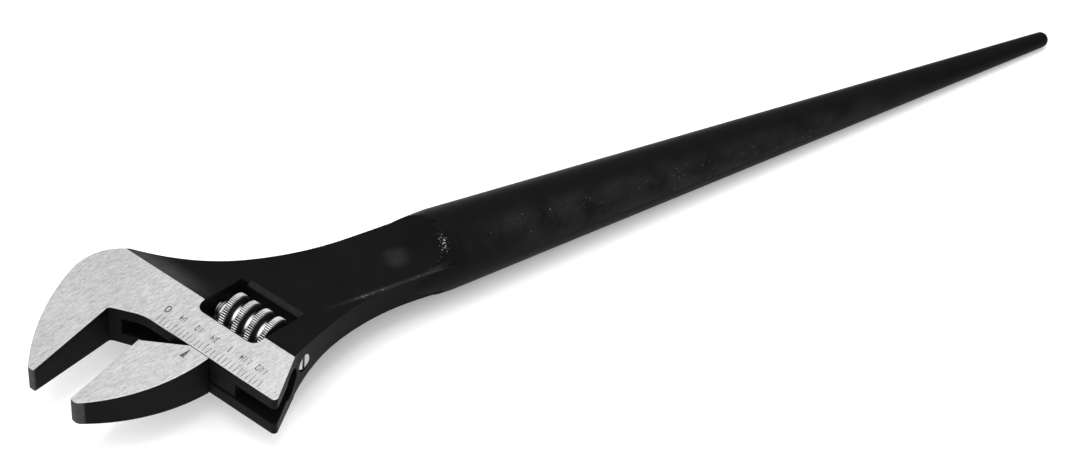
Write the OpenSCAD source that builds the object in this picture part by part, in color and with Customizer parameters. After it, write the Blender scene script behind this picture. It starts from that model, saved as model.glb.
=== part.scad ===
// Adjustable spud wrench: a forged body with a fixed jaw, a slotted slideway and a long
// round tapered handle, and a sliding jaw whose round rack is driven by a knurled worm.
//
// Head coordinates: u runs along the slideway, from the fixed jaw towards the open end, w runs
// from the jaw tips towards the handle, and z is the thickness. Zero of the jaw scale is u = 0
// and the slideway's edge is w = 0. Handle coordinates: x along the handle, y across it.
// The part's origin is the middle of the fixed jaw's gripping face, with +X along the handle.

/* [Jaws] */
// Opening between the two gripping faces as modelled
opening = 16.2; // [1:0.1:41]
// Distance from the fixed gripping face to zero on the scale
face_to_zero = 15; // [14.5:0.1:15.5]
// Angle between the gripping faces and the handle
head_angle = 22.5; // [22.5]
// How far the jaw tips stand beyond the slideway
jaw_reach = 36.2; // [35:0.1:37]
// Half thickness of the ground head at the slideway
ground_half = 8.03; // [7.8:0.01:8.2]
// Growth of that half thickness per millimetre towards the handle
ground_taper = 0.086; // [0.08:0.001:0.09]

/* [Head] */
// Width of the ground band behind the slideway
ground_band = 16.3; // [16:0.1:17]
// Length of the slideway beyond zero on the scale
slideway_end = 49.6; // [48:0.1:51]
// Width of the slot that the sliding jaw's web runs in
slot_gap = 6.6; // [6.2:0.1:7]
// Radius of the channel that the rack runs in
channel_r = 4.95; // [4.9:0.05:5.1]
// Distance from the slideway to the rack's axis
rack_depth = 13.4; // [13:0.1:13.6]

/* [Handle] */
// Half thickness of the flat neck
neck_half = 5.5; // [5:0.1:6]
// Half width of the flat neck
neck_half_w = 12.8; // [12:0.1:13.2]
// Radius of the handle behind its shoulder
handle_r = 14; // [13.8:0.1:14.2]
// Radius of the handle's rounded tip
tip_r = 3; // [2.5:0.1:3.5]
// Where the flat neck starts to ramp up to the round handle, on the axis
ramp_from = 80; // [79:0.5:81]
// Length of the ramp
ramp_run = 14; // [13:0.5:15]
// Slant of the ramp across the handle, in degrees
ramp_skew = 12; // [10:1:16]
// Where the stem inside the neck has grown to the handle's full radius
shoulder_x = 98; // [97:0.5:99]
// Where the handle ends
handle_end = 365.5; // [360:0.5:372]

/* [Worm] */
// Distance from the slideway to the worm's axis
worm_depth = 23; // [22.8:0.1:23.2]
// Radius over the thread
worm_r = 8.1; // [8:0.05:8.2]
// Radius of the core under the thread
worm_core_r = 4.6; // [4.5:0.1:4.6]
// Lead of the single right-hand thread
lead = 5.2; // [5.1:0.05:5.3]
// Length of the worm
worm_len = 19.5; // [19:0.1:20]
// Radius of the pin that the worm turns on
pin_r = 2.3; // [2.1:0.1:2.5]

/* [Hidden] */
$fn = 96;
eps = 0.01;

// Clearances: sliding faces, the turning bore, fixed bores, and thread to rack
slide_gap = 0.1;
turn_gap = 0.05;
seat_gap = 0.02;
mesh_gap = 0.25;

face_u = -face_to_zero;              // fixed gripping face
jaw_u = opening - face_to_zero;      // sliding jaw's gripping face
jaw_mid_w = -20.5;                   // middle of the gripping faces
axis_u = 3.7;                        // where the handle's axis crosses the slideway
deep = 12;                           // more than half of any thickness

// Arcs of the head's outline, in head coordinates: [centre, radius]
jaw_back = [[36.4, 12.2], 72.3];
jaw_shoulder_r = 16.7;
jaw_shoulder_c = [-18.3, 2.5];
sliding_back = [[jaw_u - 39.2, 7.5], 61.1];

// Arcs of the neck's outline, in handle coordinates
neck_top = [[69, neck_half_w + 105], 105];
neck_under = [[80, -neck_half_w - 83.2], 83.2];

// Round stem inside the neck, which grows out of its sides as the handle
stem_from = 76;
stem_start_r = neck_half_w - 0.4;

// Window that the worm turns in
window_u = [6, 30.4];
window_w = [12.1, 33.2];
window_corner_r = 3;

// Worm, centred in the window's length with room for the spring on its left
worm_u = 9;
crest_u = 11.7;                      // middle of a thread crest where it faces straight up
crest_half = 1.0;                    // half of the flat on the crest
flank = 0.75;                        // half of what the flanks add at the root

// Rack and web of the sliding jaw, measured from its gripping face
rack_r = channel_r - 0.15;
rack_from = jaw_u - 5.2;
rack_to = jaw_u + 31.8;
web_from = jaw_u + 4.8;
web_half = slot_gap / 2 - slide_gap;

travel_closed = opening - slide_gap;
slot_from = web_from - travel_closed - 1.2;
channel_from = rack_from - travel_closed - 1;

// Half thickness of the ground faces at a distance w behind the slideway
function ground(w) = ground_half + ground_taper * w;

// A head point turned into the part's own frame, and a handle point into the head's
function place(p) = [
    (p.x - face_u) * sin(head_angle) + (p.y - jaw_mid_w) * cos(head_angle),
    -(p.x - face_u) * cos(head_angle) + (p.y - jaw_mid_w) * sin(head_angle)];
function from_handle(p) = [
    axis_u + p.x * sin(head_angle) - p.y * cos(head_angle),
    p.x * cos(head_angle) + p.y * sin(head_angle)];

// Point at a polar place on an arc
function on_arc(arc, a) = arc[0] + arc[1] * [cos(a), sin(a)];

module head_frame() {
    rotate([0, 0, head_angle - 90]) translate([-face_u, -jaw_mid_w, 0]) children();
}

module handle_frame() {
    translate([place([axis_u, 0]).x, place([axis_u, 0]).y, 0]) children();
}

module disc(arc) {
    translate(arc[0]) circle(arc[1]);
}

// Runs a shape drawn in (w, z) along u
module along_u(from, to) {
    translate([from, 0, 0]) rotate([90, 0, 90]) linear_extrude(to - from) children();
}

module rod_u(r, from, to, w = 0) {
    translate([from, w, 0]) rotate([0, 90, 0]) cylinder(r = r, h = to - from);
}

// ---- Thickness of the head: two ground planes, then a hollow down to the flat neck

module thickness_profile() {
    hollow_end = 40;
    hollow_r = 73.4;
    front = -jaw_reach - 5;
    far = 100;
    full = ground(ground_band);
    difference() {
        polygon([[front, -ground(front)], [ground_band, -full], [far, -full],
                 [far, full], [ground_band, full], [front, ground(front)]]);
        for (side = [-1, 1]) {
            intersection() {
                translate([hollow_end, side * (neck_half + hollow_r)]) circle(hollow_r);
                translate([ground_band, side > 0 ? 0 : -deep])
                    square([hollow_end - ground_band + eps, deep]);
            }
            translate([hollow_end, side > 0 ? neck_half : -deep]) square([far, deep - neck_half]);
        }
    }
}

// ---- Outline of the head and neck, seen from above

module rounded_jaw_corner() {
    back_angle = atan2(jaw_shoulder_c.y - jaw_back[0].y, jaw_shoulder_c.x - jaw_back[0].x);
    neck_c = from_handle(neck_top[0]);
    neck_angle = atan2(neck_c.y - jaw_shoulder_c.y, neck_c.x - jaw_shoulder_c.x);
    arc = [jaw_shoulder_c, jaw_shoulder_r];
    difference() {
        polygon([jaw_shoulder_c, on_arc(arc, back_angle), [-50, -2], [-50, 30], on_arc(arc, neck_angle)]);
        disc(arc);
    }
}

// A strip of the plane beside the neck, in handle coordinates
module beside_neck(x_from, x_to, y_from, y_to) {
    polygon([for (p = [[x_from, y_from], [x_to, y_from], [x_to, y_to], [x_from, y_to]]) from_handle(p)]);
}

module head_outline() {
    neck_end = shoulder_x - 2;
    difference() {
        intersection() {
            polygon([
                [face_u - 2.4, -jaw_reach], [face_u, -jaw_reach], [face_u, -4.9], [face_u + 0.8, -4],
                [-6.4, -0.8], [-2, 0], [slideway_end, 0], [42, 17.5],
                from_handle([60, -40]), from_handle([neck_end, -neck_half_w]),
                from_handle([neck_end, neck_half_w]), from_handle([neck_top[0].x, neck_half_w]),
                from_handle([60, 30]), [-50, 40], [-50, -20]]);
            union() {
                disc(jaw_back);
                translate([0, 10]) square(100);
            }
        }
        disc([from_handle(neck_top[0]), neck_top[1]]);
        disc([from_handle(neck_under[0]), neck_under[1]]);
        beside_neck(neck_under[0].x, neck_end + 1, -neck_half_w - 30, -neck_half_w);
        rounded_jaw_corner();
    }
}

// ---- Handle: a long round taper, with a hollow ramp down to the flat neck on both faces

// What is cut from one face of the stem, seen from the side and drawn in (x, z)
module ramp_cutter() {
    rise = handle_r - neck_half;
    ramp_r = (ramp_run * ramp_run + rise * rise) / (2 * rise);
    translate([ramp_from, neck_half + ramp_r]) circle(ramp_r);
    translate([stem_from - 10, neck_half]) square([ramp_from - stem_from + 10, 2 * deep]);
}

module handle() {
    taper_end = handle_end - tip_r;
    function stem_r(t) = stem_start_r + (handle_r - stem_start_r) * sin(90 * t);
    outline = concat(
        [[stem_from, 0]],
        [for (i = [0 : 6]) [stem_from + (shoulder_x - stem_from) * i / 6, stem_r(i / 6)]],
        [[taper_end, tip_r], [taper_end, 0]]);
    difference() {
        rotate([0, 90, 0]) rotate_extrude() polygon([for (p = outline) [p.y, p.x]]);
        for (side = [0, 1]) mirror([0, 0, side])
            translate([ramp_from, 0, 0]) rotate([0, 0, ramp_skew]) translate([-ramp_from, 2 * handle_r, 0])
                rotate([90, 0, 0]) linear_extrude(4 * handle_r) ramp_cutter();
    }
    translate([taper_end, 0, 0]) sphere(r = tip_r);
}

module window_cut() {
    corners = [
        [window_u[0] + window_corner_r, window_w[0] + window_corner_r],
        [window_u[1] - window_corner_r, window_w[0] + window_corner_r]];
    translate([0, 0, -deep]) linear_extrude(2 * deep) {
        for (c = corners) translate(c) circle(window_corner_r);
        translate([corners[0].x, window_w[0]]) square([corners[1].x - corners[0].x, window_corner_r + eps]);
        translate([window_u[0], corners[0].y])
            square([window_u[1] - window_u[0], window_w[1] - corners[0].y]);
    }
}

module body_forging() {
    beyond = slideway_end + 5;
    color([0.09, 0.09, 0.1]) {
        head_frame() difference() {
            intersection() {
                translate([0, 0, -deep]) linear_extrude(2 * deep) head_outline();
                along_u(-60, 60) thickness_profile();
            }
            window_cut();
            // slot for the web, open at the end, and the round channel for the rack
            translate([slot_from, -8, -slot_gap / 2]) cube([beyond - slot_from, 8 + rack_depth, slot_gap]);
            rod_u(channel_r, channel_from, beyond, rack_depth);
            // blind seat of the pin on the left, and its threaded seat through the right-hand wall
            rod_u(pin_r + seat_gap, 0, window_u[0] + 1, worm_depth);
            rod_u(pin_r + 0.7 + seat_gap, window_u[1] - 1, 46, worm_depth);
        }
        handle_frame() handle();
    }
}

// ---- Sliding jaw

module sliding_outline() {
    heel = [[0, -7.9], [0.9, -7.75], [12.4, -0.9], [13.6, -slide_gap], [30, -slide_gap]];
    intersection() {
        polygon(concat(
            [[jaw_u + 30, -jaw_reach - 0.8], [jaw_u, -jaw_reach - 0.8]],
            [for (p = heel) [jaw_u + p.x, p.y]]));
        disc(sliding_back);
    }
}

module web_outline() {
    polygon([
        [web_from, -6.2], [jaw_u + 12.6, -2], [jaw_u + 18, -2], [jaw_u + 19.3, 0.5],
        [rack_to, 0.5], [rack_to, rack_depth], [web_from, rack_depth]]);
}

// ---- Thread: one helical ridge of four-cornered section about the u axis

// Corners of the section at angle a, where a = 90 faces straight up. grow widens it all round.
function ridge_ring(a, grow) = [
    for (c = [[-crest_half - flank, worm_core_r - 0.4], [-crest_half, worm_r],
              [crest_half, worm_r], [crest_half + flank, worm_core_r - 0.4]])
        let (r = c.y + grow, u = crest_u + lead * (a - 90) / 360 + c.x + sign(c.x) * grow)
            [u, r * cos(a), r * sin(a)]];

// The ridge from one angle to another, as a closed tube of rings
module ridge(a_from, a_to, grow = 0, step = 9) {
    steps = ceil((a_to - a_from) / step);
    rings = [for (i = [0 : steps]) ridge_ring(a_from + (a_to - a_from) * i / steps, grow)];
    points = [for (ring = rings) for (p = ring) p];
    sides = [
        for (i = [0 : steps - 1]) for (j = [0 : 3])
            let (a = 4 * i + j, b = 4 * i + (j + 1) % 4)
                each [[a, b, a + 4], [b, b + 4, a + 4]]];
    last = 4 * steps;
    caps = [[2, 1, 0], [3, 2, 0], [last, last + 1, last + 2], [last, last + 2, last + 3]];
    translate([0, worm_depth, 0]) polyhedron(points, concat(sides, caps));
}

module sliding_jaw() {
    first = floor((rack_from - crest_u) / lead) - 1;
    last = ceil((rack_to - crest_u) / lead);
    color([0.45, 0.45, 0.46]) head_frame() difference() {
        union() {
            intersection() {
                translate([0, 0, -deep]) linear_extrude(2 * deep) sliding_outline();
                along_u(-60, 60) thickness_profile();
            }
            translate([0, 0, -web_half]) linear_extrude(2 * web_half) web_outline();
            rod_u(rack_r, rack_from, rack_to, rack_depth);
        }
        // teeth: the thread's own shape with clearance, where it faces the rack
        for (k = [first : last]) ridge(k * 360 + 117, k * 360 + 243, mesh_gap);
    }
}

module worm() {
    turns_before = -360;
    turns_after = 360 * 4.2;
    color([0.8, 0.8, 0.82]) head_frame() difference() {
        union() {
            rod_u(worm_core_r, worm_u, worm_u + worm_len, worm_depth);
            intersection() {
                ridge(turns_before, turns_after);
                rod_u(worm_r + 1, worm_u, worm_u + worm_len, worm_depth);
            }
        }
        rod_u(pin_r + turn_gap, worm_u - 1, worm_u + worm_len + 1, worm_depth);
    }
}

module worm_pin() {
    head_from = window_u[1] + 0.3;
    pin_to = 40.7;
    color([0.55, 0.55, 0.57]) head_frame() difference() {
        union() {
            rod_u(pin_r, 0.3, head_from + eps, worm_depth);
            rod_u(pin_r + 0.7, head_from, pin_to, worm_depth);
        }
        // screwdriver slot across the outer end
        translate([pin_to - 1.2, worm_depth - 0.45, -5]) cube([3, 0.9, 10]);
    }
}

module worm_spring() {
    wire_r = 0.42;
    coil_r = pin_r + wire_r + 0.2;
    turns = 2.5;
    sides = 8;
    steps = 24 * turns;
    from = window_u[0] + wire_r + 0.05;
    to = worm_u - wire_r - 0.05;
    points = [
        for (i = [0 : steps]) for (j = [0 : sides - 1])
            let (a = 360 * turns * i / steps, b = 360 * j / sides, r = coil_r + wire_r * cos(b))
                [from + (to - from) * i / steps + wire_r * sin(b), r * cos(a), r * sin(a)]];
    tube = [
        for (i = [0 : steps - 1]) for (j = [0 : sides - 1])
            let (a = sides * i + j, b = sides * i + (j + 1) % sides)
                each [[a, b, a + sides], [b, b + sides, a + sides]]];
    caps = [[for (j = [sides - 1 : -1 : 0]) j], [for (j = [0 : sides - 1]) sides * steps + j]];
    color([0.6, 0.6, 0.62]) head_frame() translate([0, worm_depth, 0]) polyhedron(points, concat(tube, caps));
}

body_forging();
sliding_jaw();
worm();
worm_pin();
worm_spring();
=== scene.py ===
"""Adjustable spud wrench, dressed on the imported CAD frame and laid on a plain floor.

The forging, the sliding jaw, the worm, its pin and its spring are modelled again with fine arcs
and softened edges in place of their CAD nodes. Head coordinates (u, w, z) are those of the CAD
source: u along the slideway, w from the jaw tips towards the handle, z out of the scale's face.
"""

import logging
import math
from dataclasses import dataclass
from enum import Enum
from typing import Sequence

import bpy
from mathutils import Matrix, Vector


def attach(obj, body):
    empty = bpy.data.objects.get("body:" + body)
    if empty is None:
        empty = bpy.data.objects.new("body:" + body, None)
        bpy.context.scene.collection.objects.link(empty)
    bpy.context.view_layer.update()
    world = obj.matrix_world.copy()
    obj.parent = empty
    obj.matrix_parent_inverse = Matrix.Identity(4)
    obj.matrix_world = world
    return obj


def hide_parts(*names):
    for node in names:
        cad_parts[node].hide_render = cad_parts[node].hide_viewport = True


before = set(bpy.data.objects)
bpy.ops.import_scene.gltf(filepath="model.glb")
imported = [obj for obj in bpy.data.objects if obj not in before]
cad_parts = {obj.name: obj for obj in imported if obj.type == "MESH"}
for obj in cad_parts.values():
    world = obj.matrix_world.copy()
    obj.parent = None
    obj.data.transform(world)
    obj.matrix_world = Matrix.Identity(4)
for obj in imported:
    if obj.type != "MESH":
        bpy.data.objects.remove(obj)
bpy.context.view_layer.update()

log = logging.getLogger("wrench")
MM = 0.001
Point = tuple[float, float]


class Rides(Enum):
    """The CAD bodies that pieces ride on."""

    BODY = "body"
    JAW = "jaw"
    WORM = "worm"


class How(Enum):
    """How one solid is combined with another."""

    JOIN = "UNION"
    CUT = "DIFFERENCE"
    MEET = "INTERSECT"


# ---------------------------------------------------------------- coordinates


@dataclass(frozen=True)
class HeadFrame:
    """Turns head and handle coordinates into the part's own frame, in millimetres."""

    angle: float = 22.5
    face_u: float = -15.0
    jaw_mid_w: float = -20.5
    axis_u: float = 3.7

    def place(self, u: float, w: float, z: float = 0.0) -> Vector:
        """Places a head point.

        Args:
            u: Distance along the slideway from the scale's zero.
            w: Distance behind the slideway.
            z: Height over the middle plane.

        Returns:
            The point in the part's frame, in millimetres.
        """
        a = math.radians(self.angle)
        du, dw = u - self.face_u, w - self.jaw_mid_w
        return Vector((du * math.sin(a) + dw * math.cos(a), dw * math.sin(a) - du * math.cos(a), z))

    def from_handle(self, x: float, y: float) -> Point:
        """Turns a point of the handle's own axes into head coordinates.

        Args:
            x: Distance along the handle.
            y: Distance across it, towards the fixed jaw.

        Returns:
            The point's u and w.
        """
        a = math.radians(self.angle)
        return (self.axis_u + x * math.sin(a) - y * math.cos(a), x * math.cos(a) + y * math.sin(a))

    def matrix(self) -> Matrix:
        """The matrix that carries a mesh drawn in head coordinates, in metres, to its place."""
        turn = Matrix.Rotation(math.radians(self.angle - 90.0), 4, "Z")
        return Matrix.Translation(self.place(0.0, 0.0) * MM) @ turn

    def handle_matrix(self) -> Matrix:
        """The matrix that carries a mesh drawn in handle coordinates, in metres, to its place."""
        return Matrix.Translation(self.place(self.axis_u, 0.0) * MM)


HEAD = HeadFrame()


@dataclass(frozen=True)
class Arc:
    """A round stretch of an outline: centre and radius in millimetres."""

    x: float
    y: float
    r: float

    def points(self, start: float, end: float, step_mm: float = 1.6) -> list[Point]:
        """Points along the arc, both ends included.

        Args:
            start: First angle, in degrees.
            end: Last angle, in degrees.
            step_mm: Longest distance between two points.

        Returns:
            The points in order.
        """
        length = abs(math.radians(end - start)) * self.r
        n = max(2, math.ceil(length / step_mm))
        turned = [math.radians(start + (end - start) * i / n) for i in range(n + 1)]
        return [(self.x + self.r * math.cos(a), self.y + self.r * math.sin(a)) for a in turned]

    def angle_of(self, x: float, y: float) -> float:
        """The angle, in degrees, at which a point is seen from the arc's centre."""
        return math.degrees(math.atan2(y - self.y, x - self.x))


# ---------------------------------------------------------------- the modelling bench


class Bench:
    """Short names for the modelling steps that every piece repeats.

    Attributes:
        MERGE: Distance, in millimetres, within which points are one.
        FLAT: Angle, in degrees, within which two faces count as one.
        SHARP: Smallest angle, in degrees, that counts as an edge.
    """

    MERGE: float = 0.01
    FLAT: float = 0.4
    SHARP: float = 35.0

    @staticmethod
    def deselect() -> None:
        """Leaves object mode with nothing selected."""
        if bpy.context.object and bpy.context.object.mode != "OBJECT":
            bpy.ops.object.mode_set(mode="OBJECT")
        bpy.ops.object.select_all(action="DESELECT")

    @staticmethod
    def pick(piece: bpy.types.Object) -> bpy.types.Object:
        """Makes one object the only selected and active one, and returns it."""
        Bench.deselect()
        piece.select_set(True)
        bpy.context.view_layer.objects.active = piece
        return piece

    @staticmethod
    def edit(action: str = "SELECT") -> None:
        """Goes into edit mode on the active object, with everything selected or deselected."""
        bpy.ops.object.mode_set(mode="EDIT")
        bpy.ops.mesh.select_all(action=action)

    @staticmethod
    def outward() -> None:
        """Turns every face of the object in edit mode outwards, and leaves edit mode."""
        bpy.ops.mesh.select_all(action="SELECT")
        bpy.ops.mesh.normals_make_consistent(inside=False)
        bpy.ops.object.mode_set(mode="OBJECT")

    @staticmethod
    def settle(piece: bpy.types.Object, matrix: Matrix | None = None) -> bpy.types.Object:
        """Puts an object's place into its mesh.

        Args:
            piece: The object.
            matrix: A further matrix to carry it by, if any.

        Returns:
            The same object, unturned at the origin.
        """
        Bench.pick(piece)
        if matrix is not None:
            piece.matrix_world = matrix @ piece.matrix_world
        bpy.ops.object.transform_apply(location=True, rotation=True, scale=True)
        return piece

    @staticmethod
    def slab(name: str, outline: Sequence[Point], low: float, high: float) -> bpy.types.Object:
        """A flat slab of any outline.

        Args:
            name: Name of the object.
            outline: Its corners in millimetres, anticlockwise.
            low: Height of the underside.
            high: Height of the top.

        Returns:
            The slab, drawn in its x and y.
        """
        Bench.deselect()
        bpy.ops.mesh.primitive_circle_add(vertices=len(outline), radius=MM, fill_type="NGON")
        piece = bpy.context.object
        piece.name = name
        for vertex, (x, y) in zip(piece.data.vertices, outline):
            vertex.co = (x * MM, y * MM, low * MM)
        Bench.edit()
        bpy.ops.mesh.extrude_region_move(
            TRANSFORM_OT_translate={"value": (0, 0, (high - low) * MM), "orient_type": "GLOBAL"})
        Bench.outward()
        return piece

    @staticmethod
    def prism_u(name: str, outline: Sequence[Point], start: float, end: float) -> bpy.types.Object:
        """A slab drawn in (w, z) and run along u from start to end, all in millimetres."""
        piece = Bench.slab(name, outline, start, end)
        swap = Matrix(((0, 0, 1, 0), (1, 0, 0, 0), (0, 1, 0, 0), (0, 0, 0, 1)))
        return Bench.settle(piece, swap)

    @staticmethod
    def lathe(name: str, stations: Sequence[Point], sides: int) -> bpy.types.Object:
        """A turned solid about the x axis.

        Args:
            name: Name of the object.
            stations: Distance along the axis and radius of each ring, in millimetres.
            sides: Number of sides of each ring.

        Returns:
            The closed solid.
        """
        Bench.deselect()
        x0, r0 = stations[0]
        bpy.ops.mesh.primitive_circle_add(
            vertices=sides, radius=r0 * MM, fill_type="NGON", location=(x0 * MM, 0, 0),
            rotation=(0, math.pi / 2, 0))
        piece = Bench.settle(bpy.context.object)
        piece.name = name
        Bench.edit()
        for (x_a, r_a), (x_b, r_b) in zip(stations, stations[1:]):
            bpy.ops.mesh.extrude_region_move(
                TRANSFORM_OT_translate={"value": ((x_b - x_a) * MM, 0, 0), "orient_type": "GLOBAL"})
            bpy.ops.transform.resize(
                value=(1, r_b / r_a, r_b / r_a), center_override=(x_b * MM, 0, 0), orient_type="GLOBAL")
        Bench.outward()
        return piece

    @staticmethod
    def rod_u(name: str, r: float, start: float, end: float, w: float, sides: int = 64) -> bpy.types.Object:
        """A plain rod along u at a depth w, in head coordinates, in millimetres."""
        piece = Bench.lathe(name, [(start, r), (end, r)], sides)
        return Bench.settle(piece, Matrix.Translation((0, w * MM, 0)))

    @staticmethod
    def combine(target: bpy.types.Object, tool: bpy.types.Object, how: How) -> None:
        """Joins, cuts or meets one solid with another, which is used up.

        Args:
            target: The solid that is kept.
            tool: The solid that is used up.
            how: What is done with it.
        """
        Bench.pick(target)
        step = target.modifiers.new("combine", "BOOLEAN")
        step.operation, step.object, step.solver = how.value, tool, "EXACT"
        bpy.ops.object.modifier_apply(modifier=step.name)
        bpy.data.objects.remove(tool, do_unlink=True)

    @staticmethod
    def close(piece: bpy.types.Object) -> None:
        """Caps the two ends of a wound section."""
        Bench.pick(piece)
        Bench.edit("DESELECT")
        bpy.ops.mesh.select_mode(type="EDGE")
        bpy.ops.mesh.select_non_manifold()
        bpy.ops.mesh.edge_face_add()
        bpy.ops.mesh.fill_holes(sides=0)
        bpy.ops.mesh.select_all(action="SELECT")
        bpy.ops.mesh.normals_make_consistent(inside=False)
        bpy.ops.mesh.select_mode(type="VERT")
        bpy.ops.object.mode_set(mode="OBJECT")

    @staticmethod
    def tidy(piece: bpy.types.Object) -> None:
        """Merges doubled points and clears the needless edges that combining leaves."""
        Bench.pick(piece)
        Bench.edit()
        bpy.ops.mesh.remove_doubles(threshold=Bench.MERGE * MM)
        bpy.ops.mesh.dissolve_limited(angle_limit=math.radians(Bench.FLAT))
        bpy.ops.object.mode_set(mode="OBJECT")

    @staticmethod
    def soften(piece: bpy.types.Object, width: float) -> None:
        """Rounds every sharp edge to a width in millimetres, and keeps flats flat in the shading."""
        Bench.pick(piece)
        step = piece.modifiers.new("soften", "BEVEL")
        step.width, step.segments, step.limit_method = width * MM, 2, "ANGLE"
        step.angle_limit, step.use_clamp_overlap = math.radians(Bench.SHARP), False
        bpy.ops.object.modifier_apply(modifier=step.name)
        bpy.ops.object.shade_smooth_by_angle(angle=math.radians(Bench.SHARP))
        even = piece.modifiers.new("even", "WEIGHTED_NORMAL")
        even.keep_sharp = True
        bpy.ops.object.modifier_apply(modifier=even.name)

    @staticmethod
    def smooth(piece: bpy.types.Object, angle: float) -> None:
        """Smooths the shading, apart from edges sharper than an angle in degrees."""
        Bench.pick(piece)
        bpy.ops.object.shade_smooth_by_angle(angle=math.radians(angle))

    @staticmethod
    def dress(piece: bpy.types.Object, *materials: bpy.types.Material) -> None:
        """Gives a piece its materials, in order, in place of any that it has."""
        piece.data.materials.clear()
        for material in materials:
            piece.data.materials.append(material)

    @staticmethod
    def finish(piece: bpy.types.Object, rides: Rides, slot: str, *nodes: str) -> bpy.types.Object:
        """Hands a finished piece to the frame.

        Args:
            piece: The object, in place in the part's frame.
            rides: The CAD body that it moves with.
            slot: Not used.
            *nodes: The CAD nodes that it stands for.

        Returns:
            The same object.
        """
        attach(piece, rides.value)
        if nodes:
            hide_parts(*nodes)
        log.info("%s: %d faces", piece.name, len(piece.data.polygons))
        return piece


# ---------------------------------------------------------------- shader maths


class Wire:
    """A shader value that can be used in plain Python sums."""

    def __init__(self, tree: bpy.types.NodeTree, socket: bpy.types.NodeSocket) -> None:
        """Keeps the socket and the tree that it is in."""
        self.tree, self.socket = tree, socket

    def _math(self, kind: str, *others: "Wire | float") -> "Wire":
        """Adds one Math node on this value and the others."""
        node = self.tree.nodes.new("ShaderNodeMath")
        node.operation = kind
        for slot, value in zip(node.inputs, (self, *others)):
            if isinstance(value, Wire):
                self.tree.links.new(value.socket, slot)
            else:
                slot.default_value = value
        return Wire(self.tree, node.outputs[0])

    def __add__(self, other: "Wire | float") -> "Wire":
        """Sum."""
        return self._math("ADD", other)

    __radd__ = __add__

    def __sub__(self, other: "Wire | float") -> "Wire":
        """Difference."""
        return self._math("SUBTRACT", other)

    def __rsub__(self, other: float) -> "Wire":
        """Difference from a number."""
        return (self * -1.0) + other

    def __mul__(self, other: "Wire | float") -> "Wire":
        """Product."""
        return self._math("MULTIPLY", other)

    __rmul__ = __mul__

    def __abs__(self) -> "Wire":
        """Size without its sign."""
        return self._math("ABSOLUTE")

    def root(self) -> "Wire":
        """Square root."""
        return self._math("SQRT")

    def angle(self, other: "Wire") -> "Wire":
        """The angle whose sine is to its cosine as this is to the other, in radians."""
        return self._math("ARCTAN2", other)

    def cosine(self) -> "Wire":
        """Cosine of an angle in radians."""
        return self._math("COSINE")

    def above(self, limit: float) -> "Wire":
        """One where a distance in metres is over a limit in millimetres, and nought elsewhere."""
        return self._math("GREATER_THAN", limit * MM)

    def least(self, other: "Wire | float") -> "Wire":
        """The smaller of two."""
        return self._math("MINIMUM", other)

    def most(self, other: "Wire | float") -> "Wire":
        """The larger of two."""
        return self._math("MAXIMUM", other)

    def fade(self, low: float, high: float) -> "Wire":
        """Rises smoothly from nought at low to one at high, or falls if high is under low."""
        node = self.tree.nodes.new("ShaderNodeMapRange")
        node.interpolation_type = "SMOOTHSTEP"
        self.tree.links.new(self.socket, node.inputs["Value"])
        flip = high < low
        node.inputs["From Min"].default_value = high if flip else low
        node.inputs["From Max"].default_value = low if flip else high
        node.inputs["To Min"].default_value = 1.0 if flip else 0.0
        node.inputs["To Max"].default_value = 0.0 if flip else 1.0
        return Wire(self.tree, node.outputs["Result"])

    def fade_mm(self, low: float, high: float) -> "Wire":
        """The same for a distance in metres, between limits in millimetres."""
        return self.fade(low * MM, high * MM)

    def varied(self, share: float) -> "Wire":
        """Noise round one half, turned into a share of itself round nought."""
        return (self - 0.5) * share


@dataclass(frozen=True)
class Spot:
    """The shaded point: its object coordinates, whole and one by one, in metres."""

    place: bpy.types.NodeSocket
    x: Wire
    y: Wire
    z: Wire

    def on_handle(self) -> tuple[Wire, Wire]:
        """How far the point is along and across the handle, in metres."""
        start = HEAD.place(HEAD.axis_u, 0.0) * MM
        return self.x - start.x, self.y - start.y

    def on_head(self, w: float = 0.0) -> tuple[Wire, Wire]:
        """How far it is along the slideway and behind a depth w given in millimetres, in metres."""
        a, origin = math.radians(HEAD.angle), HEAD.place(0.0, w) * MM
        dx, dy = self.x - origin.x, self.y - origin.y
        return dx * math.sin(a) - dy * math.cos(a), dx * math.cos(a) + dy * math.sin(a)


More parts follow.
